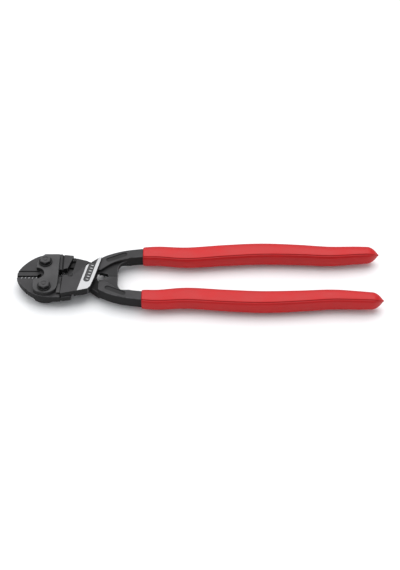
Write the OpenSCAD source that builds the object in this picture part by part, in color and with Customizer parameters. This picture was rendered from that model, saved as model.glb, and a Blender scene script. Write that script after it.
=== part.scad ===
// Compact bolt cutters: two crossing levers, a fixed and a moving jaw between
// two link plates. The tool lies flat, head at -X, handles at +X, +Z up.
// The origin is on the rest plane, under the middle of the tool's length.

/* [Head] */
// Thickness of the two jaws
jaw_t = 5; // [4:0.5:5]
// Thickness of each link plate
plate_t = 3.2; // [2.8:0.1:3.4]
// Distance of the fixed jaw's bolt from the tool's centre line
upper_bolt_y = 9.4; // [9.2:0.1:9.8]
// Distance of the moving jaw's bolt from the tool's centre line
lower_bolt_y = 12.9; // [12.7:0.1:13]
// Diameter of the jaw bolts
bolt_d = 5; // [4:0.5:5.5]
// Width across the flats of the bolt heads and nuts
hex_w = 6.9; // [6.5:0.1:7.5]
// Height of the bolt heads
head_h = 2.1; // [1.8:0.1:3]
// Height of the thin nuts
nut_h = 1.6; // [1.4:0.1:2]
// Diameter of the round collars under the bolt heads
collar_d = 9.3; // [8.6:0.1:9.6]

/* [Levers] */
// Thickness of each lever where the two cross
neck_t = 5.9; // [5.6:0.1:6.2]
// Thickness of the lever arms
arm_t = 8.5; // [8:0.5:9]
// Thickness of the web where the two levers meet
web_t = 3.2; // [2.8:0.2:4]
// Diameter of the main pivot
pivot_d = 6.5; // [5.5:0.5:6.5]
// Radius of the drive tooth that works the moving jaw
tooth_r = 2.3; // [2:0.1:2.4]

/* [Grips] */
// Wall of the dip-coated grips beside the steel core
coat_w = 2.2; // [1.7:0.1:2.6]
// Wall of the dip-coated grips above and below the steel core
coat_t = 1.2; // [0.9:0.1:1.2]

/* [Fits] */
// Radial clearance of the running fits
run_fit = 0.05; // [0.03:0.01:0.1]
// Gap between flat faces that slide past each other
slide_gap = 0.1; // [0.1:0.02:0.14]
// Gap between the two levers where they meet behind the main pivot
stop_gap = 0.3; // [0.3:0.05:0.5]

/* [Hidden] */

$fn = 64;
eps = 0.01;

// Heights above and below the middle plane of the tool
jaw_h = jaw_t / 2;
plate_in = jaw_h + slide_gap;
plate_out = plate_in + plate_t;
collar_h = 1.1;
washer_h = 0.5;
washer_d = 8.6;
mid_z = plate_out + washer_h + nut_h;
top_z = mid_z + plate_out + collar_h + head_h;
neck_in = slide_gap / 2;
neck_out = neck_in + neck_t;
strip_step = 0.15;
arm_h = arm_t / 2;
web_h = web_t / 2;

// Centres of the joints and fixings, seen from above
upper_bolt = [-105.6, upper_bolt_y];
lower_bolt = [-105.1, -lower_bolt_y];
pivot = [-75.5, 0];
tooth = [-90.5, -5];
jaw_dowel_at = [-99.6, 7.4];
lever_dowels_at = [[-91.3, -15.4], [-91.3, -11.6]];
jaw_dowel_r = 1.5;
lever_dowel_r = 1.1;
bush_wall = 1.2;
edge_end_x = -109.5;
head_end_x = -87;
grip_start_x = -39;

// Round shapes along the tool are smooth curves through a few stations
function blend(a, b, c, d, t) =
    (2 * b + (c - a) * t + (2 * a - 5 * b + 4 * c - d) * t * t
     + (3 * b - a - 3 * c + d) * t * t * t) / 2;
function smooth(p, n) = concat(
    [for (i = [0 : len(p) - 2], j = [0 : n - 1])
        blend(p[max(i - 1, 0)], p[i], p[i + 1], p[min(i + 2, len(p) - 1)], j / n)],
    [p[len(p) - 1]]);
function backwards(p) = [for (i = [len(p) - 1 : -1 : 0]) p[i]];
function grown(s, d, e) = [for (q = s) [q[0], q[1], q[2] + d, q[3] + e]];

// Grip stations: distance along the tool, centre line, half width, half thickness
grip_stations = [
    [grip_start_x, 19.8, 5.8, 4.9], [-36, 19.9, 6.1, 4.95], [-27, 20.1, 6.4, 4.9],
    [-8, 18.8, 6.8, 5], [18, 20.9, 6.8, 5.3], [43, 22.2, 6.6, 5.6],
    [68, 21.4, 6.2, 5.7], [90, 20, 5.8, 5.6], [108, 20.8, 5.3, 5.4],
    [117.5, 21.2, 4.9, 5.1]];
grip_tip = [124.8, 21.2];
grip_curve = concat(smooth(grip_stations, 5), [[119.8, 21.2, 3.8, 4],
                                               [122.4, 21.2, 2.1, 2.2]]);
core_end_x = 112;
tail_reach = 20.6;

outer_edge = smooth([[-69, 13.6], [-66.9, 15.3], [-63.7, 17.2], [-58.3, 19.5],
                     [-50, 21.9], [grip_start_x, 23.5]], 4);
inner_edge = smooth([[grip_start_x, 15.8], [-47, 14.8], [-52.8, 12.6],
                     [-55.4, 9], [-55.9, 4]], 4);
jaw_edge = smooth([[-124.8, 2.4], [-121.4, 8.5], [-116, 14.3], [-110.2, 18],
                   [-103, 19.6], [-95, 19.8], [head_end_x, 18.9]], 5);

module at(p) { translate([p[0], p[1], 0]) children(); }

// A flat piece between two heights measured from the middle plane
module layer(low, high) {
    translate([0, 0, mid_z + low]) linear_extrude(high - low) children();
}

module pin(r, low, high) {
    translate([0, 0, mid_z + low]) cylinder(r = r, h = high - low);
}

module stadium(a, b, r) {
    len_ab = norm(b - a);
    at(a) rotate(atan2(b[1] - a[1], b[0] - a[0])) {
        circle(r);
        translate([0, -r]) square([len_ab, 2 * r]);
        translate([len_ab, 0]) circle(r);
    }
}

// ---------------------------------------------------------------- levers

// Right-hand edge of the crossing part, where the bright band ends
neck_right = [[-67.1, 13.5], [-70.5, -1], [-71.9, -6.5], [-73.9, -13.2], [-75.3, -14.9]];
band_left = [[-82.7, -16.8], [-77.4, 6.04]];

module neck_outline() {
    polygon(concat([[-93, -3.4], [-92.4, -2.5], [-91.4, -2.3], [-89.4, -4.3], [-87.4, -4.4],
                    [-76, 7.5], [-69, 13.5]],
                   neck_right, [band_left[0], [-93.4, -19.3], [-94, -18.8]]));
}

module band_outline() {
    difference() {
        polygon(concat([band_left[0], band_left[1], [-69, 13.5]], neck_right));
        // Dark corner above the sunk field
        polygon([[-71.6, 5.4], [-69.3, 13.3], [-75, 13.3], [-75, 5.4]]);
    }
}

// Where the arm may stand beside the other lever's crossing part
module arm_outline(left_x) {
    difference() {
        polygon(concat(outer_edge, inner_edge,
                       [[-55.9, stop_gap / 2], [-68.6, stop_gap / 2], [-68.6, 2],
                        [left_x, 5]]));
        translate([left_x - 20, 0]) square([20, 30]);
        // Half of the wire notch between the two levers
        translate([-67.4, 0]) circle(3.3);
        translate([-64.4, 0.3]) circle(2.2);
    }
}

// Inner edges of the arm's raised face, on its crossing side and on the other side
near_face_edge = smooth([[-67.4, 3.8], [-65.4, 5.6], [-62.5, 8.2], [-58.5, 11],
                         [-53.4, 13.1], [-48, 14.3], [-43, 14.9], [-30, 14.9]], 2);
far_face_edge = smooth([[-68.6, 8.5], [-66.5, 7.2], [-63.2, 7.6], [-60, 9.8],
                        [-56.8, 12.7], [-53, 14.5], [-48, 14.6], [-30, 14.6]], 2);

// Raised face of the arm, beside the thinner web
module arm_face_outline(left_x, face_edge) {
    intersection() {
        arm_outline(left_x);
        polygon(concat([[left_x, 30], [left_x, face_edge[0][1] - 0.2]], face_edge,
                       [[-30, 30]]));
    }
}

module cartouche_outline() { stadium([-62.4, 12.9], [-51.6, 17.9], 1.8); }

module core_outline() {
    curve = grown([for (s = grip_curve) if (s[0] < core_end_x) s], -coat_w, 0);
    polygon(concat([for (s = curve) [s[0], s[1] + s[2]]],
                   backwards([for (s = curve) [s[0], s[1] - s[2]]])));
}

// One lever forging; the other lever is the same forging turned over
module lever_forging() {
    cartouche_deep = 0.5;
    difference() {
        union() {
            layer(neck_in, neck_out - strip_step) neck_outline();
            layer(neck_in, neck_out) band_outline();
            layer(-web_h, web_h) arm_outline(-68.6);
            layer(neck_in, web_h) arm_outline(-72.5);
            layer(0, arm_h) arm_face_outline(-68.6, near_face_edge);
            layer(-arm_h, 0) arm_face_outline(-68.6, far_face_edge);
            layer(neck_in, arm_h) arm_face_outline(-72.5, near_face_edge);
            layer(-arm_h + coat_t, arm_h - coat_t)
                union() {
                    core_outline();
                    translate([grip_start_x - 1, 16.2]) square([2, 7]);
                }
        }
        // Room over the tail of the jaw, as wide as the tail reaches when it turns
        layer(neck_in - eps, plate_in) at(lower_bolt) circle(tail_reach);
        // Dark sunk field in the bright band
        layer(neck_out - 0.4, neck_out + eps) stadium([-73.4, 7], [-76.6, -6.8], 2.25);
        layer(arm_h - cartouche_deep, arm_h + eps) cartouche_outline();
        layer(-arm_h - eps, -arm_h + cartouche_deep) cartouche_outline();
    }
}

module upper_lever() color([0.2, 0.2, 0.21]) {
    difference() {
        lever_forging();
        // Pocket for the tongue of the front link plate
        layer(plate_in - eps, tongue_out) tongue_outline(0.02);
        for (p = lever_dowels_at) at(p) pin(lever_dowel_r, plate_in - eps, dowel_top);
        at(pivot) pin(pivot_d / 2, neck_in - eps, rivet_top);
    }
}

// Flips a piece between the upper and the lower half of the tool
module turned_over() {
    translate([0, 0, mid_z]) rotate([180, 0, 0]) translate([0, 0, -mid_z]) children();
}

module lower_lever() color([0.2, 0.2, 0.21]) {
    ledge_z = -0.9;
    ledge_end_z = 0.4;
    difference() {
        union() {
            turned_over() lever_forging();
            // Nose behind the moving jaw, with the tooth that drives it
            layer(-neck_out + strip_step, -plate_in) {
                at(tooth) circle(tooth_r + 0.7);
                polygon([[-93.2, -4], [-93.2, 6], [-80, 0], [-80, -4], [-88.2, -7.4]]);
            }
            at(tooth) pin(tooth_r, -plate_in - eps, jaw_h - 0.2);
            // Shoulder that fills the corner beside the other lever
            layer(-neck_out + strip_step, 1.2)
                polygon([[-87.2, 4], [-86.6, 0.6], [-84.8, 0.4], [-82.2, 3.2], [-80.2, 8],
                         [-76.9, 12.4], [-76.6, 14.3], [-84.6, 16.9], [-85.4, 12]]);
            // Ledge between the shoulder and the end of the fixed jaw
            layer(-neck_out + strip_step, ledge_z)
                polygon([[-89.3, 10.2], [-86.85, 18.3], [-84, 17], [-84, 10.2]]);
            layer(-neck_out + strip_step, ledge_end_z)
                polygon([[-87.85, 15], [-86.85, 18.3], [-84, 17], [-84, 15]]);
        }
        at(pivot) pin(pivot_d / 2 + run_fit, -neck_out - eps, -neck_in + eps);
        at(pivot) translate([0, 0, mid_z - neck_out - eps])
            cylinder(r1 = pivot_d / 2 + 1.1, r2 = pivot_d / 2 + run_fit, h = 1.1);
    }
}

rivet_top = neck_out - 1.2;
module pivot_rivet() color([0.3, 0.3, 0.31]) {
    at(pivot) pin(pivot_d / 2, -neck_out + 1.3, rivet_top);
    at(pivot) pin(pivot_d / 2 - run_fit, -neck_out + 0.1, -neck_out + 1.3);
}

// ---------------------------------------------------------------- jaws

// Half angle and reach of the drive slot in the tail of the moving jaw
slot_dir = atan2(tooth[1] - lower_bolt[1], tooth[0] - lower_bolt[0]);
slot_reach = norm(tooth - lower_bolt);
slot_half = tooth_r + 0.55;
prong_w = 2.4;
prong_reach = 19.3;
hub_r = lower_bolt_y - 0.1;
tail_start_x = -93.4;
tail_h = jaw_h - 0.45;
groove_w = 1.1;
groove_h = jaw_h - 1.2;
throat = [edge_end_x, 0];
throat_r = 1.7;

// Both cutting edges are ground from the two faces
module edge_bevels() {
    // Distance from the edge and height above the middle plane
    bevel = [[0, 0.2], [0.3, 0.25], [0.7, 1.3], [3.7, 1.8], [4.1, jaw_h]];
    left = backwards([for (b = bevel) if (b[0] > 0) [-b[0], b[1]]]);
    for (side = [-1, 1]) translate([-130, 0, mid_z]) rotate([90, 0, 90])
        linear_extrude(130 + edge_end_x)
            polygon([for (b = concat(left, bevel, [[4.1, jaw_h + 1], [-4.1, jaw_h + 1]]))
                [b[0], side * b[1]]]);
}

// The tail is a little thinner, to pass beside the levers, and starts with a groove
module tail_steps() {
    for (low = [-jaw_h - 1, tail_h]) layer(low, low + jaw_h + 1 - tail_h)
        translate([tail_start_x, -30]) square([20, 60]);
    for (low = [-jaw_h - 1, groove_h]) layer(low, low + jaw_h + 1 - groove_h)
        translate([tail_start_x - groove_w, -30]) square([groove_w + eps, 60]);
}

module upper_jaw() color([0.21, 0.21, 0.22]) {
    difference() {
        layer(-jaw_h, jaw_h)
            polygon(concat([[-124.8, 0.02]], jaw_edge,
                           [[-90.6, 7], [-92.8, 6.6], [-94.6, 5.4], [-96, 5.4],
                            [-102, 0.7], [-104, 0.35], [edge_end_x, 0.02]]));
        edge_bevels();
        tail_steps();
        at(throat) pin(throat_r, -jaw_h - 1, jaw_h + 1);
        at(upper_bolt) pin(bolt_d / 2, -jaw_h - 1, jaw_h + 1);
        at(jaw_dowel_at) pin(jaw_dowel_r, -jaw_h - 1, jaw_h + 1);
    }
}

module lower_jaw() color([0.21, 0.21, 0.22]) {
    difference() {
        layer(-jaw_h, jaw_h) {
            difference() {
                polygon(concat([[-124.8, -0.02]], [for (p = jaw_edge) [p[0], -p[1]]],
                               [[head_end_x, -7], [-96, -7], [-103, -0.3],
                                [edge_end_x, -0.02]]));
                // Clear of the fixed jaw as it turns
                translate([-103, -0.3]) square([20, 5]);
            }
            at(lower_bolt) intersection() {
                circle(hub_r);
                translate([-hub_r, 0]) square([2 * hub_r, hub_r]);
            }
            at(lower_bolt) rotate(slot_dir)
                translate([4, -slot_half - 1])
                    square([prong_reach - 4, 2 * slot_half + 1 + prong_w]);
        }
        edge_bevels();
        tail_steps();
        translate([head_end_x, -30, 0]) cube([20, 60, 20]);
        at(throat) pin(throat_r, -jaw_h - 1, jaw_h + 1);
        at(lower_bolt) pin(bolt_d / 2 + bush_wall + run_fit, -jaw_h - 1, jaw_h + 1);
        // Radial slot for the drive tooth
        layer(-jaw_h - 1, jaw_h + 1) at(lower_bolt) rotate(slot_dir) {
            translate([slot_reach - 0.6, 0]) circle(slot_half);
            translate([slot_reach - 0.6, -slot_half]) square([14, 2 * slot_half]);
        }
    }
}

// ---------------------------------------------------------------- link plates

tongue_out = plate_in + 1.3;
dowel_top = neck_out - 1;

module tongue_outline(grow) {
    translate([-97, -17 - grow]) square([8 + grow, 8 + 2 * grow]);
}

module plate_outline() {
    plate_right_x = -96.2;
    plate_top_y = 16.8;
    lower_end = smooth([[-112.9, -5], [-112.9, -12.6], [-111, -16.6], [-104.8, -18.5],
                        [-98.8, -16.6], [-96.6, -12.4], [plate_right_x, -7]], 5);
    upper_end = smooth([[-106.6, plate_top_y], [-109.4, 13.8], [-111, 9], [-111.6, 3]], 4);
    difference() {
        polygon(concat(lower_end, [[plate_right_x, plate_top_y]], upper_end));
        // Bite around the meeting point of the cutting edges
        translate([-111.2, -0.9]) circle(5.2);
    }
}

module link_plate(low, high) {
    layer(low, high) difference() {
        plate_outline();
        at(upper_bolt) circle(bolt_d / 2);
        at(lower_bolt) circle(bolt_d / 2);
    }
}

module front_link_plate() color([0.22, 0.22, 0.23]) {
    difference() {
        union() {
            link_plate(plate_in, plate_out);
            layer(plate_in, tongue_out) tongue_outline(0);
        }
        // Groove beside the lever, in line with the one in the jaws
        layer(tongue_out - 0.7, tongue_out + eps)
            translate([tail_start_x - groove_w, -20]) square([groove_w + 0.3, 15]);
        at(jaw_dowel_at) pin(jaw_dowel_r, plate_in - eps, plate_in + 1.8);
        for (p = lever_dowels_at) at(p) pin(lever_dowel_r, plate_in - 1, plate_out + 1);
    }
}

module rear_link_plate() color([0.22, 0.22, 0.23]) {
    difference() {
        link_plate(-plate_out, -plate_in);
        at(jaw_dowel_at) pin(jaw_dowel_r, -plate_in - 1.8, -plate_in + eps);
    }
}

module jaw_dowel() color([0.6, 0.6, 0.62])
    at(jaw_dowel_at) pin(jaw_dowel_r, -plate_in - 1.7, plate_in + 1.7);

module lever_dowels() color([0.6, 0.6, 0.62])
    for (p = lever_dowels_at) at(p) pin(lever_dowel_r, plate_in + 0.1, dowel_top - 0.1);

// ---------------------------------------------------------------- bolts

module hexagon(r_flat, h) {
    corner = r_flat / cos(30);
    intersection() {
        rotate(30) cylinder(r = corner, h = h, $fn = 6);
        union() {
            cylinder(r = corner + 1, h = h - 0.5);
            translate([0, 0, h - 0.5 - eps]) cylinder(r1 = corner, r2 = corner - 0.8, h = 0.5 + eps);
        }
    }
}

module jaw_bolt(p) color([0.24, 0.24, 0.25]) at(p) {
    difference() {
        translate([0, 0, top_z - head_h]) hexagon(hex_w / 2, head_h);
        // Turned ring in the end of the head
        translate([0, 0, top_z - 0.25]) difference() {
            cylinder(r = 1.9, h = 1);
            translate([0, 0, -1]) cylinder(r = 1.2, h = 3);
        }
    }
    pin(bolt_d / 2, -mid_z + 0.3, plate_out + collar_h + eps);
}

module jaw_nut(p) color([0.24, 0.24, 0.25]) at(p) {
    difference() {
        translate([0, 0, nut_h]) mirror([0, 0, 1]) hexagon(hex_w / 2, nut_h);
        pin(bolt_d / 2, -mid_z - 1, 0);
    }
}

module ring(p, d, low, h) color([0.2, 0.2, 0.21]) at(p) {
    difference() {
        pin(d / 2, low, low + h);
        pin(bolt_d / 2, low - 1, low + h + 1);
    }
}

module upper_jaw_bolt() jaw_bolt(upper_bolt);
module lower_jaw_bolt() jaw_bolt(lower_bolt);
module upper_jaw_nut() jaw_nut(upper_bolt);
module lower_jaw_nut() jaw_nut(lower_bolt);
module upper_collar() ring(upper_bolt, collar_d, plate_out, collar_h);
module lower_collar() ring(lower_bolt, collar_d, plate_out, collar_h);
module upper_washer() ring(upper_bolt, washer_d, -plate_out - washer_h, washer_h);
module lower_washer() ring(lower_bolt, washer_d, -plate_out - washer_h, washer_h);

// The moving jaw turns on a bush, so that the bolt can be pulled tight
module lower_jaw_bush() color([0.6, 0.55, 0.4]) at(lower_bolt) {
    difference() {
        pin(bolt_d / 2 + bush_wall, -plate_in, plate_in);
        pin(bolt_d / 2, -plate_in - 1, plate_in + 1);
    }
}

// ---------------------------------------------------------------- grips

module grip_plan(curve) {
    polygon(concat([for (s = curve) [s[0], s[1] + s[2]]], [grip_tip],
                   backwards([for (s = curve) [s[0], s[1] - s[2]]])));
}

module grip_side(curve) {
    polygon(concat([for (s = curve) [s[0], s[3]]], [[grip_tip[0], 0]],
                   backwards([for (s = curve) [s[0], -s[3]]])));
}

module grip() color([0.8, 0.12, 0.12]) {
    difference() {
        intersection() {
            layer(-10, 10) grip_plan(grip_curve);
            translate([0, 40, mid_z]) rotate([90, 0, 0]) linear_extrude(40)
                grip_side(grip_curve);
        }
        layer(-arm_h + coat_t, arm_h - coat_t) {
            core_outline();
            translate([grip_start_x - 1, 16.2]) square([2, 7]);
        }
    }
}

module upper_grip() grip();
module lower_grip() turned_over() grip();

upper_lever();
lower_lever();
pivot_rivet();
upper_jaw();
lower_jaw();
front_link_plate();
rear_link_plate();
upper_jaw_bolt();
lower_jaw_bolt();
upper_jaw_nut();
lower_jaw_nut();
upper_collar();
lower_collar();
upper_washer();
lower_washer();
lower_jaw_bush();
jaw_dowel();
lever_dowels();
upper_grip();
lower_grip();
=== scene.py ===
"""Looks of a pair of compact bolt cutters: forged black levers, ground jaws and red dipped grips."""

import logging
import math
from dataclasses import dataclass, field
from enum import Enum
from typing import Any, ClassVar

import bmesh
import bpy
import numpy as np
from mathutils import Matrix, Vector


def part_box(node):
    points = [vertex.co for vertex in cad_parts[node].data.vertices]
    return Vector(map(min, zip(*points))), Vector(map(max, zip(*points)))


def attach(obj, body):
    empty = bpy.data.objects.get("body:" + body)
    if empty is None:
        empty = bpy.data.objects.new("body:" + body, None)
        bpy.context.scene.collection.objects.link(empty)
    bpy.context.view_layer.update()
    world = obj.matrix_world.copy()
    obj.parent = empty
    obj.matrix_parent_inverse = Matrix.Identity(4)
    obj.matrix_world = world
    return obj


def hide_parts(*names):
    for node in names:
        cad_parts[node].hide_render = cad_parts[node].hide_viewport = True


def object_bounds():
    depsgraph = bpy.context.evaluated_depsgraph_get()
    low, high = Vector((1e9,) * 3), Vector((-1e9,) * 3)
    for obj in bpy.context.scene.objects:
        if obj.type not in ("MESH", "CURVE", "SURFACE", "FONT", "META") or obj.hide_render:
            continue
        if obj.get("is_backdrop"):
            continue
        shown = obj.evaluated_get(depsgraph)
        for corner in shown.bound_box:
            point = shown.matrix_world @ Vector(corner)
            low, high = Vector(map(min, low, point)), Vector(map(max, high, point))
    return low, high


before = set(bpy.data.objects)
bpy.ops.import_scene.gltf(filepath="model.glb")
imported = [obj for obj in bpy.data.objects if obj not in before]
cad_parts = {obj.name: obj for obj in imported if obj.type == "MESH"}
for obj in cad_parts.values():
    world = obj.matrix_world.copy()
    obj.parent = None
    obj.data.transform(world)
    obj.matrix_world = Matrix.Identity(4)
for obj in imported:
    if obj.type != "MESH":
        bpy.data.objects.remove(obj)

LOG = logging.getLogger("bolt_cutters")
MM = 0.001
OPAQUE = 1.0
Colour = tuple[float, float, float]
Point = tuple[float, float, float]


class Body(str, Enum):
    """The rigid groups that the pieces ride on."""

    FIXED = "fixed_half"
    HANDLE = "lower_handle"
    JAW = "moving_jaw"


class Slot(str, Enum):
    """The material slots."""

    LEVER = "lever_steel"
    JAW = "jaw_steel"
    PLATE = "plate_steel"
    FASTENER = "fastener_steel"
    PIN = "pin_steel"
    BUSH = "bush_bronze"
    GRIP = "grip_coat"


# --------------------------------------------------------------------------- node graphs


class Value:
    """One output socket that takes part in arithmetic."""

    def __init__(self, graph: "Graph", socket: bpy.types.NodeSocket) -> None:
        """Wraps a socket of a graph."""
        self.graph = graph
        self.socket = socket

    def _maths(self, operation: str, first: Any, second: Any) -> "Value":
        """Adds a Math node.

        Args:
            operation: the Math node's operation.
            first: a number or a Value.
            second: a number or a Value.

        Returns:
            The node's result.
        """
        return self.graph.add(
            "ShaderNodeMath", {"operation": operation}, {0: first, 1: second}
        )

    def __add__(self, other: Any) -> "Value":
        """Sum."""
        return self._maths("ADD", self, other)

    def __radd__(self, other: Any) -> "Value":
        """Sum, reflected."""
        return self._maths("ADD", other, self)

    def __sub__(self, other: Any) -> "Value":
        """Difference."""
        return self._maths("SUBTRACT", self, other)

    def __rsub__(self, other: Any) -> "Value":
        """Difference, reflected."""
        return self._maths("SUBTRACT", other, self)

    def __mul__(self, other: Any) -> "Value":
        """Product."""
        return self._maths("MULTIPLY", self, other)

    def __rmul__(self, other: Any) -> "Value":
        """Product, reflected."""
        return self._maths("MULTIPLY", other, self)

    def clamped(self) -> "Value":
        """The value kept between 0 and 1."""
        return self.graph.add("ShaderNodeClamp", {}, {"Value": self})

    def step(self, low: float, high: float) -> "Value":
        """A smooth step from 0 at low to 1 at high.

        Args:
            low: the value at which the step starts.
            high: the value at which the step is complete.

        Returns:
            The stepped value.
        """
        return self.graph.add(
            "ShaderNodeMapRange",
            {"interpolation_type": "SMOOTHSTEP"},
            {"Value": self, "From Min": low, "From Max": high},
        )


class Graph:
    """A node tree that is built one node at a time."""

    def __init__(self, tree: bpy.types.NodeTree) -> None:
        """Starts from an empty tree."""
        self.tree = tree
        tree.nodes.clear()

    def add(
        self,
        kind: str,
        settings: dict[str, Any] | None = None,
        inputs: dict[Any, Any] | None = None,
        out: int | str = 0,
    ) -> Value:
        """Adds one node.

        Args:
            kind: the node's type name.
            settings: the properties to set first.
            inputs: the values or links of its sockets, by name or number.
            out: the output to return, by name or number.

        Returns:
            The chosen output, or the node's first output if it has any.
        """
        node = self.tree.nodes.new(kind)
        for name, setting in (settings or {}).items():
            setattr(node, name, setting)
        for name, given in (inputs or {}).items():
            if isinstance(given, Value):
                self.tree.links.new(given.socket, node.inputs[name])
            else:
                node.inputs[name].default_value = given
        result = node.outputs[out] if len(node.outputs) else None
        return Value(self, result)

    def mix(self, share: Any, first: Any, second: Any) -> Value:
        """Mixes two colours.

        Args:
            share: how much of the second colour, from 0 to 1.
            first: a colour or a Value.
            second: a colour or a Value.

        Returns:
            The mixed colour.
        """
        first, second = (
            c if isinstance(c, Value) else (*c, OPAQUE) for c in (first, second)
        )
        return self.add(
            "ShaderNodeMix",
            {"data_type": "RGBA"},
            {0: share, 6: first, 7: second},
            out=2,
        )

    def place(
        self,
        stretch: Point = (1.0, 1.0, 1.0),
        turn: float = 0.0,
        shift: Point = (0.0, 0.0, 0.0),
    ) -> Value:
        """Object coordinates, optionally stretched and turned about Z.

        Args:
            stretch: the stretch along X, Y and Z.
            turn: the turn about Z in radians.
            shift: the offset in metres, which also gives each finish its own pattern.

        Returns:
            The coordinates.
        """
        coordinates = self.add("ShaderNodeTexCoord", out="Object")
        return self.add(
            "ShaderNodeMapping",
            {},
            {
                "Vector": coordinates,
                "Scale": stretch,
                "Rotation": (0, 0, turn),
                "Location": shift,
            },
        )

    def noise(
        self, where: Value, size: float, detail: float = 3.0, rough: float = 0.55
    ) -> Value:
        """Noise whose features have a given size.

        Args:
            where: the coordinates, in metres.
            size: the size of a feature, in metres.
            detail: the number of octaves.
            rough: the share of the finer octaves.

        Returns:
            The noise value, about 0.5.
        """
        return self.add(
            "ShaderNodeTexNoise",
            {},
            {"Vector": where, "Scale": 1 / size, "Detail": detail, "Roughness": rough},
        )

    def bump(self, height: Value, depth: float, strength: float = 1.0) -> Value:
        """A normal from a height.

        Args:
            height: the height, from 0 to 1.
            depth: how far 0 to 1 reaches, in metres.
            strength: the share of the effect.

        Returns:
            The normal.
        """
        return self.add(
            "ShaderNodeBump",
            {},
            {"Height": height, "Distance": depth, "Strength": strength},
        )


class Finish:
    """A surface finish that makes its own material once."""

    name: str
    made: ClassVar[dict[str, bpy.types.Material]] = {}

    def material(self) -> bpy.types.Material:
        """Makes the material, or returns the one made before.

        Returns:
            The material.
        """
        if self.name not in self.made:
            material = bpy.data.materials.new(self.name)
            material.use_nodes = True
            graph = Graph(material.node_tree)
            shader = self.shade(graph)
            graph.add("ShaderNodeOutputMaterial", {}, {"Surface": shader})
            self.made[self.name] = material
        return self.made[self.name]

    def shade(self, graph: Graph) -> Value:
        """Builds the nodes and returns the shader."""
        raise NotImplementedError


@dataclass(frozen=True)
class BlackOxide(Finish):
    """Oiled black oxide, thin along edges; painted shade darkens the walls and some level faces, so
    the ground faces read greyer.
    """

    name: str
    dark: Colour = (0.030, 0.029, 0.030)
    light: Colour = (0.052, 0.050, 0.052)
    # the colour that the painted shade on walls and shaded level faces darkens towards
    painted_shade_colour: Colour = (0.006, 0.006, 0.006)
    worn: Colour = (0.085, 0.085, 0.087)
    grain: float = 0.9 * MM
    grain_depth: float = 0.05 * MM
    sheen: float = 0.40
    shift: Point = (0.0, 0.0, 0.0)

    def shade(self, graph: Graph) -> Value:
        """Builds the nodes.

        Args:
            graph: the material's graph.

        Returns:
            The shader.
        """
        where = graph.place(shift=self.shift)
        patches = graph.noise(where, 14 * MM, detail=4).step(0.32, 0.7)
        grain = graph.noise(where, self.grain, detail=5, rough=0.6)
        fine = graph.noise(where, 0.22 * MM, detail=2)
        edge = graph.add(
            "ShaderNodeAttribute", {"attribute_name": "worn_edge"}, out="Fac"
        )
        # this attribute holds painted shade: how far the walls and the listed level faces are
        # darkened
        shade_share = graph.add(
            "ShaderNodeAttribute", {"attribute_name": "painted_shade"}, out="Fac"
        )
        rubbed = (edge * graph.noise(where, 3.5 * MM, detail=4).step(0.34, 0.62)).clamped()
        specks = fine.step(0.66, 0.78) * 0.25
        colour = graph.mix(patches * 0.7 + grain * 0.3, self.dark, self.light)
        # painted shade: walls and shaded level faces are darkened towards a near-black colour
        colour = graph.mix(shade_share * 0.8, colour, self.painted_shade_colour)
        colour = graph.mix(rubbed * 0.75 + specks, colour, self.worn)
        roughness = self.sheen + 0.10 * grain + 0.08 * patches - 0.10 * rubbed + 0.15 * shade_share
        return graph.add(
            "ShaderNodeBsdfPrincipled",
            {},
            {
                "Base Color": colour,
                "Roughness": roughness,
                "Specular IOR Level": 0.16,
                "Normal": graph.bump(grain * 0.75 + fine * 0.25, self.grain_depth, 0.6),
            },
        )


@dataclass(frozen=True)
class GroundSteel(Finish):
    """Bright ground steel with the fine lines of the belt."""

    name: str
    dark: Colour = (0.22, 0.22, 0.224)
    light: Colour = (0.32, 0.32, 0.324)
    line_turn: float = 0.0
    line: float = 0.16 * MM
    sheen: float = 0.24

    def shade(self, graph: Graph) -> Value:
        """Builds the nodes.

        Args:
            graph: the material's graph.

        Returns:
            The shader.
        """
        along = graph.place(stretch=(0.03, 1.0, 1.0), turn=self.line_turn)
        lines = graph.noise(along, self.line, detail=3, rough=0.7)
        clouds = graph.noise(graph.place(), 5 * MM, detail=3)
        colour = graph.mix(lines * 0.6 + clouds * 0.4, self.dark, self.light)
        return graph.add(
            "ShaderNodeBsdfPrincipled",
            {},
            {
                "Base Color": colour,
                "Metallic": 1.0,
                "Roughness": self.sheen + 0.12 * lines + 0.06 * clouds,
                "Normal": graph.bump(lines, 0.006 * MM, 0.5),
            },
        )


@dataclass(frozen=True)
class BlackEnamel(Finish):
    """Black enamel in the sunk fields."""

    name: str
    colour: Colour = (0.006, 0.006, 0.007)

    def shade(self, graph: Graph) -> Value:
        """Builds the nodes.

        Args:
            graph: the material's graph.

        Returns:
            The shader.
        """
        where = graph.place()
        pits = graph.noise(where, 0.5 * MM, detail=3)
        dust = graph.noise(where, 4 * MM, detail=3).step(0.45, 0.8)
        colour = graph.mix(dust * 0.5, self.colour, (0.02, 0.02, 0.021))
        return graph.add(
            "ShaderNodeBsdfPrincipled",
            {},
            {
                "Base Color": colour,
                "Roughness": 0.38 + 0.2 * pits,
                "Normal": graph.bump(pits, 0.02 * MM, 0.5),
            },
        )


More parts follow.
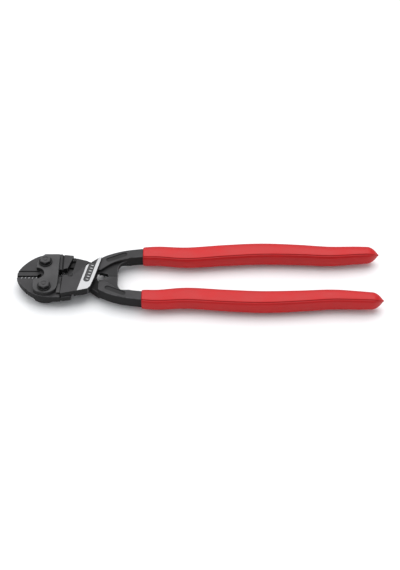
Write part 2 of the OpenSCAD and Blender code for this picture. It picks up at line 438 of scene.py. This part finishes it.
@dataclass(frozen=True)
class DippedPlastic(Finish):
    """Glossy plastic dip coat with a soft flow, faint handling marks and painted shade in the
    hollows.
    """

    name: str
    deep: Colour = (0.44, 0.003, 0.004)
    bright: Colour = (0.54, 0.007, 0.009)
    # the colour of the painted shade in the hollows beside the top and bottom faces
    groove_shade_colour: Colour = (0.17, 0.0008, 0.002)
    shift: Point = (0.0, 0.0, 0.0)

    def shade(self, graph: Graph) -> Value:
        """Builds the nodes.

        Args:
            graph: the material's graph.

        Returns:
            The shader.
        """
        where = graph.place(shift=self.shift)
        flow = graph.noise(
            graph.place(stretch=(0.25, 1.0, 1.0), shift=self.shift), 6 * MM, detail=2
        )
        peel = graph.noise(where, 0.8 * MM, detail=2)
        handled = graph.noise(where, 16 * MM, detail=4).step(0.4, 0.75)
        hollow = graph.add("ShaderNodeAttribute", {"attribute_name": "hollow"}, out="Fac")
        colour = graph.mix(flow * 0.6 + handled * 0.4, self.deep, self.bright)
        # painted shade: the hollows are darkened by their depth
        colour = graph.mix((hollow * 0.75).clamped(), colour, self.groove_shade_colour)
        return graph.add(
            "ShaderNodeBsdfPrincipled",
            {},
            {
                "Base Color": colour,
                "Roughness": 0.40 + 0.10 * handled + 0.05 * peel,
                "Specular IOR Level": 0.25,
                "Coat Weight": 0.10 - 0.05 * handled,
                "Coat Roughness": 0.16,
                "Normal": graph.bump(flow * 0.7 + peel * 0.3, 0.03 * MM, 0.35),
            },
        )


@dataclass(frozen=True)
class Bronze(Finish):
    """Turned bearing bronze, darkened with oil."""

    name: str

    def shade(self, graph: Graph) -> Value:
        """Builds the nodes.

        Args:
            graph: the material's graph.

        Returns:
            The shader.
        """
        rings = graph.noise(graph.place(stretch=(0.1, 0.1, 1.0)), 0.2 * MM, detail=3)
        oil = graph.noise(graph.place(), 2 * MM, detail=3)
        colour = graph.mix(oil, (0.36, 0.22, 0.10), (0.58, 0.40, 0.20))
        return graph.add(
            "ShaderNodeBsdfPrincipled",
            {},
            {
                "Base Color": colour,
                "Metallic": 1.0,
                "Roughness": 0.28 + 0.2 * oil,
                "Normal": graph.bump(rings, 0.008 * MM, 0.5),
            },
        )


@dataclass(frozen=True)
class PaleFloor(Finish):
    """The plain pale floor of the studio."""

    name: str
    colour: Colour = (0.90, 0.90, 0.905)

    def shade(self, graph: Graph) -> Value:
        """Builds the nodes.

        Args:
            graph: the material's graph.

        Returns:
            The shader.
        """
        fibre = graph.noise(graph.place(), 3 * MM, detail=3)
        return graph.add(
            "ShaderNodeBsdfPrincipled",
            {},
            {
                "Base Color": graph.mix(fibre * 0.2, self.colour, (0.87, 0.87, 0.88)),
                "Roughness": 0.9,
                "Specular IOR Level": 0.1,
            },
        )


class Finishes(Enum):
    """The finishes of the tool."""

    LEVER = BlackOxide("forged_black_lever", shift=(0.11, 0.0, 0.0))
    JAW = BlackOxide(
        "hardened_black_jaw", grain=0.6 * MM, grain_depth=0.03 * MM, shift=(0.0, 0.23, 0.0)
    )
    PLATE = BlackOxide(
        "black_link_plate",
        dark=(0.040, 0.039, 0.040),
        light=(0.074, 0.072, 0.073),
        grain=0.5 * MM,
        grain_depth=0.02 * MM,
        sheen=0.36,
        shift=(0.0, 0.0, 0.31),
    )
    FASTENER = BlackOxide(
        "black_fastener",
        dark=(0.036, 0.035, 0.036),
        light=(0.068, 0.066, 0.067),
        grain=0.35 * MM,
        grain_depth=0.015 * MM,
        sheen=0.32,
        shift=(0.05, 0.4, 0.0),
    )
    # painted shadow: collars and washers are near black to stand for the shade ring round the bolt
    # heads
    RING = BlackOxide(
        "painted_shadow_ring",
        dark=(0.004, 0.004, 0.004),
        light=(0.010, 0.010, 0.010),
        worn=(0.05, 0.05, 0.051),
        grain=0.4 * MM,
        grain_depth=0.015 * MM,
        shift=(0.2, 0.0, 0.1),
    )
    SUNK = BlackOxide(
        "rough_black_panel",
        dark=(0.018, 0.018, 0.018),
        light=(0.032, 0.031, 0.032),
        grain_depth=0.08 * MM,
        sheen=0.55,
        shift=(0.3, 0.1, 0.0),
    )
    BAND = GroundSteel("bright_ground_band", line_turn=math.radians(16))
    EDGE = GroundSteel(
        "ground_cutting_edge",
        dark=(0.20, 0.20, 0.205),
        light=(0.42, 0.42, 0.425),
        line_turn=math.radians(90),
        sheen=0.34,
    )
    PIN = GroundSteel("ground_pin", dark=(0.30, 0.30, 0.31), light=(0.46, 0.46, 0.47))
    ENAMEL = BlackEnamel("black_enamel")
    GRIP = DippedPlastic("red_dip_coat")
    BUSH = Bronze("bronze_bush")
    FLOOR = PaleFloor("pale_floor")

    def material(self) -> bpy.types.Material:
        """The finish's material."""
        return self.value.material()


# --------------------------------------------------------------------------- mesh work


def settle(obj: bpy.types.Object, body: Body, slot: Slot, *nodes: str) -> None:
    """Puts a finished piece on its body and hides the nodes that it stands for.

    Args:
        obj: the finished piece.
        body: the body that it rides on.
        slot: the material slot; not used.
        nodes: the CAD nodes that it stands for.
    """
    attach(obj, body.value)
    if nodes:
        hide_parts(*nodes)
    LOG.info("%s: %d faces on %s", obj.name, len(obj.data.polygons), body.value)


def plain_mesh(obj: bpy.types.Object, name: str) -> bpy.types.Object:
    """Turns an object with modifiers into a plain mesh object.

    Args:
        obj: the object, which is removed.
        name: the new object's name.

    Returns:
        The new object.
    """
    bpy.context.view_layer.update()
    shown = obj.evaluated_get(bpy.context.evaluated_depsgraph_get())
    mesh = bpy.data.meshes.new_from_object(shown)
    bpy.data.objects.remove(obj)
    mesh.name = name
    made = bpy.data.objects.new(name, mesh)
    bpy.context.collection.objects.link(made)
    return made


class Tool:
    """Heights that the whole tool shares."""

    @staticmethod
    def middle() -> float:
        """The height of the plane midway through the tool.

        Returns:
            The height in metres.
        """
        low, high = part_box("lower_jaw")
        return (low.z + high.z) / 2


@dataclass
class EdgedPiece:
    """A steel piece that copies a CAD node and breaks its sharp edges.

    Each of the shaded pairs is the height of level faces, out from the tool's middle plane
    along their normal, and how much painted shade those faces get, from 0 to 1.
    """

    node: str
    body: Body
    slot: Slot
    finish: Finishes
    edge: float = 0.35 * MM
    segments: int = 3
    sharp: float = math.radians(28)
    weld_distance: float = 0.002 * MM
    # faces steeper than this count as walls, which get painted shade
    wall_slope: float = 0.6
    flat_slope: float = 0.999
    flat_angle: float = math.radians(0.5)
    crossing: float = 0.8
    room_share: float = 0.45
    level_play: float = 0.03 * MM
    shaded: tuple[tuple[float, float], ...] = ()

    def welded(self) -> bpy.types.Mesh:
        """Copies the node's mesh, merges its doubles and joins its flat faces.

        Returns:
            The copy, whose edges carry a bevel weight that fits their surroundings.
        """
        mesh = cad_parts[self.node].data.copy()
        shape = bmesh.new()
        shape.from_mesh(mesh)
        bmesh.ops.remove_doubles(shape, verts=shape.verts, dist=self.weld_distance)
        bmesh.ops.dissolve_limit(
            shape,
            angle_limit=self.flat_angle,
            verts=shape.verts,
            edges=shape.edges,
        )
        weights = shape.edges.layers.float.new("bevel_weight_edge")
        for edge in shape.edges:
            if self.is_sharp(edge):
                if self.can_break(edge):
                    edge[weights] = 1.0
                else:
                    edge.smooth = False
        for face in shape.faces:
            face.smooth = abs(face.normal.z) < self.flat_slope
            face.material_index = 0
        shape.to_mesh(mesh)
        shape.free()
        return mesh

    def is_sharp(self, edge: bmesh.types.BMEdge) -> bool:
        """Whether an edge is a real corner of the piece."""
        return len(edge.link_faces) == 2 and edge.calc_face_angle(0.0) > self.sharp

    def can_break(self, edge: bmesh.types.BMEdge) -> bool:
        """Whether a sharp edge stands out, has room and ends in plain corners.

        Args:
            edge: a sharp edge.

        Returns:
            True if the edge can be broken cleanly.
        """
        if not self.edge or not edge.is_convex or self.room(edge) < self.edge:
            return False
        for vert in edge.verts:
            sharp = [e for e in vert.link_edges if self.is_sharp(e)]
            if len(sharp) not in (2, 3) or not all(e.is_convex for e in sharp):
                return False
        return True

    def room(self, edge: bmesh.types.BMEdge) -> float:
        """How wide an edge can be broken before it meets its neighbours.

        Args:
            edge: a sharp edge.

        Returns:
            The width in metres.
        """
        own = (edge.verts[1].co - edge.verts[0].co).normalized()
        width = self.edge
        for vert in edge.verts:
            for other in vert.link_edges:
                if other is edge:
                    continue
                along = (other.verts[1].co - other.verts[0].co).normalized()
                if abs(along.dot(own)) < self.crossing:
                    width = min(width, self.room_share * other.calc_length())
        return width

    def build(self) -> bpy.types.Object:
        """Makes the piece and puts it in place.

        Returns:
            The finished object.
        """
        mesh = self.welded()
        obj = bpy.data.objects.new(self.node + "_rough", mesh)
        bpy.context.collection.objects.link(obj)
        mesh.materials.clear()
        for _ in range(2):
            mesh.materials.append(self.finish.material())
        bevel = obj.modifiers.new("broken edges", "BEVEL")
        bevel.limit_method = "WEIGHT"
        bevel.offset_type = "OFFSET"
        bevel.width = self.edge
        bevel.segments = self.segments
        bevel.use_clamp_overlap = False
        bevel.material = 1
        bevel.miter_outer = "MITER_ARC"
        normals = obj.modifiers.new("flat faces stay flat", "WEIGHTED_NORMAL")
        normals.weight = 60
        normals.keep_sharp = True
        made = plain_mesh(obj, self.node + "_looks")
        self.mark_edges(made.data)
        self.dress(made.data)
        settle(made, self.body, self.slot, self.node)
        return made

    def mark_edges(self, mesh: bpy.types.Mesh) -> None:
        """Keeps broken edges, and the painted shade of walls and shaded faces, as attributes and
        frees the second slot.

        Args:
            mesh: the beveled mesh.
        """
        index = np.zeros(len(mesh.polygons), dtype=np.int32)
        mesh.polygons.foreach_get("material_index", index)
        slopes = np.zeros(len(mesh.polygons) * 3, dtype=np.float32)
        mesh.polygons.foreach_get("normal", slopes)
        # painted shade: every wall is darkened, then the listed level faces by their share
        shade_shares = ((np.abs(slopes[2::3]) < self.wall_slope) & (index == 0)).astype(np.float32)
        middle = Tool.middle()
        for face in mesh.polygons:
            if abs(face.normal.z) > self.flat_slope:
                height = (face.center.z - middle) * math.copysign(1.0, face.normal.z)
                for level, share in self.shaded:
                    if abs(height - level) < self.level_play:
                        shade_shares[face.index] = share
        for name, marked in (("worn_edge", index), ("painted_shade", shade_shares)):
            attribute = mesh.attributes.new(name, "FLOAT", "FACE")
            attribute.data.foreach_set("value", marked.astype(np.float32))
        mesh.polygons.foreach_set("material_index", np.zeros_like(index))
        mesh.materials.pop(index=1)

    def dress(self, mesh: bpy.types.Mesh) -> None:
        """Gives some faces another finish; a plain piece has none."""


@dataclass
class Lever(EdgedPiece):
    """A lever forging with a bright ground band and sunk black fields."""

    turned: bool = False
    level_slope: float = 0.9
    finish_play: float = 0.045 * MM
    sunk: float = 0.4 * MM
    panel: float = 2.2 * MM
    far_panel: float = 9.7 * MM
    others: tuple[Finishes, ...] = (Finishes.BAND, Finishes.ENAMEL, Finishes.SUNK)

    def dress(self, mesh: bpy.types.Mesh) -> None:
        """Gives the band, its sunk field and the arm's sunk panels their own finishes.

        Args:
            mesh: the finished mesh.
        """
        for finish in self.others:
            mesh.materials.append(finish.material())
        sign = -1.0 if self.turned else 1.0
        top = max(sign * v.co.z for v in mesh.vertices)
        for face in mesh.polygons:
            depth = top - sign * face.center.z
            face.material_index = self.finish_at(depth, sign * face.normal.z)

    def finish_at(self, depth: float, upright: float) -> int:
        """The finish of one face.

        Args:
            depth: how far the face lies below the top of the band.
            upright: how much it faces the band's side, from -1 to 1.

        Returns:
            The finish's number: 0 for the forging's own, then the others in their order.
        """
        if upright > self.level_slope:
            for number, level in enumerate((0.0, self.sunk, self.panel), start=1):
                if abs(depth - level) < self.finish_play:
                    return number
        if upright < -self.level_slope and abs(depth - self.far_panel) < self.finish_play:
            return len(self.others)
        return 0


@dataclass
class Grip:
    """A dipped grip: a rounded bar that follows the CAD grip and ends in a blunt point."""

    node: str
    body: Body
    corner: float = 2.1 * MM
    arc_steps: int = 14
    hollows: tuple[tuple[float, float, float], ...] = (
        (0.55 * MM, math.radians(23), math.radians(9)),
        (0.18 * MM, math.radians(60), math.radians(11)),
    )
    flat_steps: int = 5
    crown: float = 0.22 * MM
    stations_per_mm: float = 0.8
    inset: float = 0.03 * MM
    lip: float = 0.5 * MM
    lip_steps: tuple[float, ...] = (0.0, 0.35, 0.7, 1.0)
    tip_steps: int = 14
    tip_power: float = 2.0
    tip_blunt: float = 0.08
    tip_sharper: float = 0.35
    whole_share: float = 0.8
    place_play: float = 0.02 * MM
    corner_share: float = 0.92
    crown_share: float = 0.05
    middle: float = field(init=False, default=0.0)

    def outline(self) -> np.ndarray:
        """Reads the CAD grip's middle height and its outer size along its length.

        Returns:
            Rows of place along X, centre in Y, half width and half thickness, in metres.
        """
        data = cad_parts[self.node].data
        points = np.array([v.co for v in data.vertices], float)
        self.middle = (points[:, 2].max() + points[:, 2].min()) / 2
        places = np.unique(np.round(points[:, 0], 5))
        rows = []
        for place in places:
            ring = points[np.abs(points[:, 0] - place) < self.place_play]
            low, high = ring.min(axis=0), ring.max(axis=0)
            rows.append(
                [place, (low[1] + high[1]) / 2, (high[1] - low[1]) / 2, (high[2] - low[2]) / 2]
            )
        return np.array(rows)

    def build(self) -> bpy.types.Object:
        """Lofts the grip.

        Returns:
            The finished object.
        """
        rows = self.outline()
        whole = rows[:, 2] > self.whole_share * np.median(rows[:, 2])
        body_rows = rows[whole]
        start, shoulder, tip = body_rows[0, 0], body_rows[-1, 0], rows[-1]
        count = int((shoulder - start) / MM * self.stations_per_mm)
        shape = bmesh.new()
        shape.verts.layers.float.new("hollow")
        rings = [self.start_ring(shape, body_rows, share) for share in self.lip_steps]
        first = start + self.lip
        for place in np.linspace(first, shoulder, count)[1:]:
            size = [np.interp(place, body_rows[:, 0], body_rows[:, k]) for k in (1, 2, 3)]
            rings.append(self.ring(shape, place, *size, self.corner))
        last = body_rows[-1]
        for step in range(1, self.tip_steps + 1):
            share = step / self.tip_steps
            shrink = max(1.0 - share**self.tip_power, self.tip_blunt)
            place = shoulder + (tip[0] - self.inset - shoulder) * share
            centre = last[1] + (tip[1] - last[1]) * share
            corner = self.corner * shrink * (1.0 - self.tip_sharper * share)
            rings.append(
                self.ring(shape, place, centre, last[2] * shrink, last[3] * shrink, corner)
            )
        self.skin(shape, rings)
        mesh = bpy.data.meshes.new(self.node + "_looks")
        shape.to_mesh(mesh)
        shape.free()
        mesh.materials.append(Finishes.GRIP.material())
        made = bpy.data.objects.new(self.node + "_looks", mesh)
        bpy.context.collection.objects.link(made)
        settle(made, self.body, Slot.GRIP, self.node)
        return made

    def start_ring(self, shape: bmesh.types.BMesh, rows: np.ndarray, share: float) -> list:
        """A ring of the rounded lip where the dip coat starts.

        Args:
            shape: the mesh under construction.
            rows: the grip's outline.
            share: how far round the lip the ring is, from its end face to the full size.

        Returns:
            The ring's vertices.
        """
        turn = share * math.pi / 2
        place = rows[0, 0] + self.lip * (1 - math.cos(turn))
        drawn = self.lip * (1 - math.sin(turn))
        return self.ring(
            shape, place, rows[0, 1], rows[0, 2] - drawn, rows[0, 3] - drawn, self.corner
        )

    def ring(
        self,
        shape: bmesh.types.BMesh,
        place: float,
        centre: float,
        width: float,
        height: float,
        corner: float,
    ) -> list:
        """One cross-section: a rounded rectangle with slightly crowned sides.

        Args:
            shape: the mesh under construction.
            place: the place along X.
            centre: the centre in Y.
            width: half the width.
            height: half the thickness.
            corner: the corner radius.

        Returns:
            The ring's vertices, in order.
        """
        corner = min(corner, self.corner_share * width, self.corner_share * height)
        crown = min(self.crown, self.crown_share * width)
        w, h = width - self.inset - crown, height - self.inset - crown
        points = []
        for quarter, (sy, sz) in enumerate(((1, 1), (-1, 1), (-1, -1), (1, -1))):
            cy, cz = sy * (w - corner), sz * (h - corner)
            for step in range(self.arc_steps + 1):
                turn = math.pi / 2 * (quarter + step / self.arc_steps)
                depth = self.hollow_depth(turn)
                reach = corner * (1 - depth / self.corner)
                points.append(
                    (cy + reach * math.cos(turn), cz + reach * math.sin(turn), depth)
                )
            ny, nz = (((-sy) * (w - corner), sz * h), (sy * w, -sz * (h - corner)))[quarter % 2]
            last = points[-1]
            for step in range(1, self.flat_steps):
                share = step / self.flat_steps
                bulge = crown * 4 * share * (1 - share)
                y = last[0] + (ny - last[0]) * share
                z = last[1] + (nz - last[1]) * share
                along_y = quarter % 2 == 0
                out_y = 0.0 if along_y else math.copysign(bulge, y)
                out_z = math.copysign(bulge, z) if along_y else 0.0
                points.append((y + out_y, z + out_z, 0.0))
        hollow = shape.verts.layers.float["hollow"]
        made = []
        for y, z, depth in points:
            vert = shape.verts.new((place, centre + y, self.middle + z))
            # the hollow's depth drives the painted shade of the grip finish
            vert[hollow] = min(depth / self.hollows[0][0], 1.0)
            made.append(vert)
        return made

    def hollow_depth(self, turn: float) -> float:
        """How deep the hollows beside the top and bottom faces are at a place on a corner.

        Args:
            turn: the direction from the corner's centre, from the Y axis.

        Returns:
            The depth in metres.
        """
        upright = math.acos(min(1.0, abs(math.sin(turn))))
        return max(
            depth * math.exp(-(((upright - middle) / width) ** 2))
            for depth, middle, width in self.hollows
        )

    def skin(self, shape: bmesh.types.BMesh, rings: list[list]) -> None:
        """Joins the rings into a closed, smooth skin.

        Args:
            shape: the mesh under construction.
            rings: the rings from the start to the tip.
        """
        count = len(rings[0])
        for first, second in zip(rings, rings[1:]):
            for k in range(count):
                nxt = (k + 1) % count
                face = shape.faces.new((first[k], first[nxt], second[nxt], second[k]))
                face.smooth = True
        shape.faces.new(list(reversed(rings[0])))
        shape.faces.new(rings[-1]).smooth = True
        bmesh.ops.recalc_face_normals(shape, faces=shape.faces)


@dataclass
class RowOfRidges:
    """Small rounded ridges in a row, such as the teeth on a cutting edge."""

    name: str
    body: Body
    slot: Slot
    finish: Finishes
    start: Vector
    end: Vector
    count: int
    size: Vector
    tilt: float = 0.0
    lean: float = 0.0

    def tree(self) -> bpy.types.NodeTree:
        """Builds the node tree that repeats one ridge along a line.

        Returns:
            The tree, with named inputs for its sizes.
        """
        tree = bpy.data.node_groups.new(self.name + "_row", "GeometryNodeTree")
        face = tree.interface
        face.new_socket("Geometry", in_out="OUTPUT", socket_type="NodeSocketGeometry")
        for name, kind in (
            ("Start", "NodeSocketVector"),
            ("Step", "NodeSocketVector"),
            ("Count", "NodeSocketInt"),
            ("Ridge length", "NodeSocketFloat"),
            ("Ridge width", "NodeSocketFloat"),
            ("Ridge height", "NodeSocketFloat"),
            ("Turn", "NodeSocketVector"),
            ("Finish", "NodeSocketMaterial"),
        ):
            face.new_socket(name, in_out="INPUT", socket_type=kind)
        graph = Graph(tree)
        given = tree.nodes.new("NodeGroupInput")
        sizes = {s.name: Value(graph, s) for s in given.outputs if s.name}
        line = graph.add(
            "GeometryNodeMeshLine",
            {"mode": "OFFSET"},
            {"Count": sizes["Count"], "Start Location": sizes["Start"], "Offset": sizes["Step"]},
        )
        bead = graph.add(
            "GeometryNodeMeshUVSphere", {}, {"Segments": 12, "Rings": 8, "Radius": 0.5}
        )
        shape = graph.add(
            "ShaderNodeCombineXYZ",
            {},
            {
                0: sizes["Ridge width"],
                1: sizes["Ridge length"],
                2: sizes["Ridge height"],
            },
        )
        bar = graph.add("GeometryNodeTransform", {}, {"Geometry": bead, "Scale": shape})
        placed = graph.add(
            "GeometryNodeInstanceOnPoints",
            {},
            {"Points": line, "Instance": bar, "Rotation": sizes["Turn"]},
        )
        real = graph.add("GeometryNodeRealizeInstances", {}, {"Geometry": placed})
        smooth = graph.add("GeometryNodeSetShadeSmooth", {}, {"Geometry": real})
        painted = graph.add(
            "GeometryNodeSetMaterial", {}, {"Geometry": smooth, "Material": sizes["Finish"]}
        )
        graph.add("NodeGroupOutput", {}, {"Geometry": painted})
        return tree

    def build(self) -> bpy.types.Object:
        """Makes the row as a plain mesh.

        Returns:
            The finished object.
        """
        tree = self.tree()
        blank = bpy.data.objects.new(self.name + "_blank", bpy.data.meshes.new(self.name))
        bpy.context.collection.objects.link(blank)
        row = blank.modifiers.new("row of ridges", "NODES")
        row.node_group = tree
        step = (self.end - self.start) / max(self.count - 1, 1)
        chosen = {
            "Start": self.start,
            "Step": step,
            "Count": self.count,
            "Ridge length": self.size.y,
            "Ridge width": self.size.x,
            "Ridge height": self.size.z,
            "Turn": Vector((self.lean, 0.0, self.tilt)),
            "Finish": self.finish.material(),
        }
        for socket in tree.interface.items_tree:
            if socket.in_out == "INPUT":
                row[socket.identifier] = chosen[socket.name]
        made = plain_mesh(blank, self.name)
        settle(made, self.body, self.slot)
        return made


# --------------------------------------------------------------------------- sub-assemblies


@dataclass
class Head:
    """The two jaws between their link plates."""

    edge: float = 0.3 * MM
    plate_edge: float = 0.4 * MM
    # level heights with their share of painted shade: the groove floors are darkened for the shade
    # in the grooves
    tail_groove: tuple[float, float] = (1.3 * MM, 1.0)
    tongue_groove: tuple[float, float] = (3.2 * MM, 1.0)
    teeth_per_face: int = 6
    tooth_pitch: float = 2.5 * MM
    tooth_size: Point = (0.9, 2.2, 0.8)
    tooth_slant: float = math.radians(-28)
    tooth_from_nose: float = 3.4 * MM
    tooth_from_edge: float = 1.45 * MM
    bevel_root: float = 1.18 * MM
    bevel_slope: float = math.atan2(0.5, 3.0)

    def build(self) -> None:
        """Builds the jaws, the plates and the moving jaw's teeth."""
        for node, body in (("upper_jaw", Body.FIXED), ("lower_jaw", Body.JAW)):
            EdgedPiece(
                node, body, Slot.JAW, Finishes.JAW, self.edge, shaded=(self.tail_groove,)
            ).build()
        for node in ("front_link_plate", "rear_link_plate"):
            EdgedPiece(
                node,
                Body.FIXED,
                Slot.PLATE,
                Finishes.PLATE,
                self.plate_edge,
                shaded=(self.tongue_groove,),
            ).build()
        self.teeth()

    def teeth(self) -> None:
        """Adds the fine teeth to both faces of the moving jaw's cutting edge."""
        low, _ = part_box("lower_jaw")
        first = low.x + self.tooth_from_nose
        height = self.bevel_root + self.tooth_from_edge * math.tan(self.bevel_slope)
        reach = Vector((self.tooth_pitch * (self.teeth_per_face - 1), 0, 0))
        for face, up in (("front", 1), ("rear", -1)):
            at = Vector((first, -self.tooth_from_edge, Tool.middle() + up * height))
            RowOfRidges(
                f"lower_jaw_{face}_teeth",
                Body.JAW,
                Slot.JAW,
                Finishes.EDGE,
                at,
                at + reach,
                self.teeth_per_face,
                Vector(self.tooth_size) * MM,
                tilt=self.tooth_slant,
                lean=-up * self.bevel_slope,
            ).build()


@dataclass
class Fasteners:
    """The jaw bolts with their nuts and collars, the bush and the hidden pins."""

    edges: dict[str, float] = field(
        default_factory=lambda: {
            "jaw_bolt": 0.0,
            "jaw_nut": 0.0,
            "collar": 0.2 * MM,
            "washer": 0.1 * MM,
        }
    )
    bush_edge: float = 0.15 * MM
    pin_edge: float = 0.12 * MM

    def build(self) -> None:
        """Builds every fastener; the bolts and nuts come with their chamfers."""
        for where in ("upper", "lower"):
            for kind, edge in self.edges.items():
                # collars and washers take the near-black painted shadow finish
                finish = Finishes.RING if kind in ("collar", "washer") else Finishes.FASTENER
                EdgedPiece(f"{where}_{kind}", Body.FIXED, Slot.FASTENER, finish, edge).build()
        EdgedPiece(
            "lower_jaw_bush", Body.FIXED, Slot.BUSH, Finishes.BUSH, self.bush_edge
        ).build()
        for node in ("pivot_rivet", "jaw_dowel", "lever_dowels"):
            EdgedPiece(node, Body.FIXED, Slot.PIN, Finishes.PIN, self.pin_edge).build()


@dataclass
class Levers:
    """The two lever forgings and their grips."""

    edge: float = 0.45 * MM
    # level heights with their share of painted shade: the sliding faces, webs, shoulder and ledge
    # are darkened for the shade that falls on them
    sliding_face: tuple[float, float] = (-0.05 * MM, 1.0)
    upper_web: tuple[float, float] = (1.6 * MM, 0.6)
    lower_web: tuple[float, float] = (1.6 * MM, 0.25)
    shoulder: tuple[float, float] = (1.2 * MM, 0.3)
    ledge: tuple[float, float] = (-0.9 * MM, 1.0)
    ledge_end: tuple[float, float] = (0.4 * MM, 1.0)
    marks: int = 6
    first_mark: tuple[float, float] = (-73.3 * MM, 6.2 * MM)
    last_mark: tuple[float, float] = (-76.3 * MM, -6.4 * MM)
    mark_depth: float = 0.3 * MM
    mark_size: Point = (2.5, 0.95, 0.3)
    mark_turn: float = math.radians(-13)

    def build(self) -> None:
        """Builds the forgings, the grips and the marks in the sunk fields."""
        Lever(
            "upper_lever",
            Body.FIXED,
            Slot.LEVER,
            Finishes.LEVER,
            self.edge,
            shaded=(self.sliding_face, self.upper_web),
        ).build()
        Lever(
            "lower_lever",
            Body.HANDLE,
            Slot.LEVER,
            Finishes.LEVER,
            self.edge,
            shaded=(
                self.sliding_face,
                self.lower_web,
                self.shoulder,
                self.ledge,
                self.ledge_end,
            ),
            turned=True,
        ).build()
        Grip("upper_grip", Body.FIXED).build()
        Grip("lower_grip", Body.HANDLE).build()
        self.field_marks()

    def field_marks(self) -> None:
        """Adds the row of plain bright bars in each sunk black field."""
        for node, body, side in (
            ("upper_lever", Body.FIXED, 1),
            ("lower_lever", Body.HANDLE, -1),
        ):
            low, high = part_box(node)
            level = (high.z if side > 0 else low.z) - side * self.mark_depth
            first, last = (
                Vector((x, side * y, level)) for x, y in (self.first_mark, self.last_mark)
            )
            RowOfRidges(
                f"{node}_field_marks",
                body,
                Slot.LEVER,
                Finishes.BAND,
                first,
                last,
                self.marks,
                Vector(self.mark_size) * MM,
                tilt=side * self.mark_turn,
            ).build()


@dataclass
class Studio:
    """The floor, the lights and the camera.

    The camera stands at distance from its aim, where the image's height covers image_height.
    """

    distance: float = 0.95
    elevation: float = math.radians(48)
    image_height: float = 0.3893
    sensor: float = 36.0
    aim_shift: Point = (0.0005, -0.0067, -0.0006)
    floor_reach: float = 3.0
    room: float = 0.62
    room_colour: Colour = (0.95, 0.975, 1.0)
    lights: list[tuple[str, Point, float, float, float]] = field(
        default_factory=lambda: [
            ("overhead", (0.15, 0.9, 2.0), 2.6, 2.2, 50.0),
            ("left", (-1.6, -0.2, 1.3), 0.9, 0.9, 6.0),
        ]
    )

    def build(self, low: Vector, high: Vector) -> None:
        """Sets up the studio round the tool.

        Args:
            low: the tool's lowest corner.
            high: the tool's highest corner.
        """
        middle = (low + high) / 2
        self.camera(middle + Vector(self.aim_shift))
        self.floor(low.z)
        for name, place, width, depth, power in self.lights:
            self.light(name, Vector(place), middle, width, depth, power)
        world = bpy.data.worlds.new("soft white room")
        world.use_nodes = True
        background = world.node_tree.nodes["Background"]
        background.inputs["Color"].default_value = (*self.room_colour, OPAQUE)
        background.inputs["Strength"].default_value = self.room
        bpy.context.scene.world = world
        bpy.context.scene.view_settings.view_transform = "Standard"

    def camera(self, aim: Vector) -> None:
        """Adds the camera.

        Args:
            aim: the point at the middle of the view.
        """
        data = bpy.data.cameras.new("camera")
        data.sensor_width = self.sensor
        data.lens = self.sensor * self.distance / self.image_height
        data.clip_start, data.clip_end = 0.01, 20.0
        camera = bpy.data.objects.new("camera", data)
        bpy.context.collection.objects.link(camera)
        back = Vector((0.0, -math.cos(self.elevation), math.sin(self.elevation)))
        camera.location = aim + back * self.distance
        camera.rotation_euler = (-back).to_track_quat("-Z", "Y").to_euler()
        bpy.context.scene.camera = camera

    def floor(self, level: float) -> None:
        """Adds the floor.

        Args:
            level: the floor's height.
        """
        mesh = bpy.data.meshes.new("floor")
        reach = self.floor_reach
        corners = [(-reach, -reach), (reach, -reach), (reach, reach), (-reach, reach)]
        mesh.from_pydata([(x, y, level) for x, y in corners], [], [(0, 1, 2, 3)])
        mesh.materials.append(Finishes.FLOOR.material())
        floor = bpy.data.objects.new("floor", mesh)
        bpy.context.collection.objects.link(floor)
        floor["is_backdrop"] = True

    def light(
        self, name: str, place: Vector, aim: Vector, width: float, depth: float, power: float
    ) -> None:
        """Adds one soft light.

        Args:
            name: the light's name.
            place: where it stands.
            aim: the point it faces.
            width: its width in metres.
            depth: its other side in metres.
            power: its power in watts.
        """
        data = bpy.data.lights.new(name, "AREA")
        data.shape = "RECTANGLE"
        data.size, data.size_y, data.energy = width, depth, power
        lamp = bpy.data.objects.new(name, data)
        bpy.context.collection.objects.link(lamp)
        lamp.location = place
        lamp.rotation_euler = (aim - place).to_track_quat("-Z", "Y").to_euler()


def main() -> None:
    """Builds the tool and its studio."""
    logging.basicConfig(level=logging.INFO, format="%(message)s")
    cad_low, cad_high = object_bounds()
    Studio().build(cad_low, cad_high)
    Head().build()
    Fasteners().build()
    Levers().build()


if __name__ == "__main__":
    main()
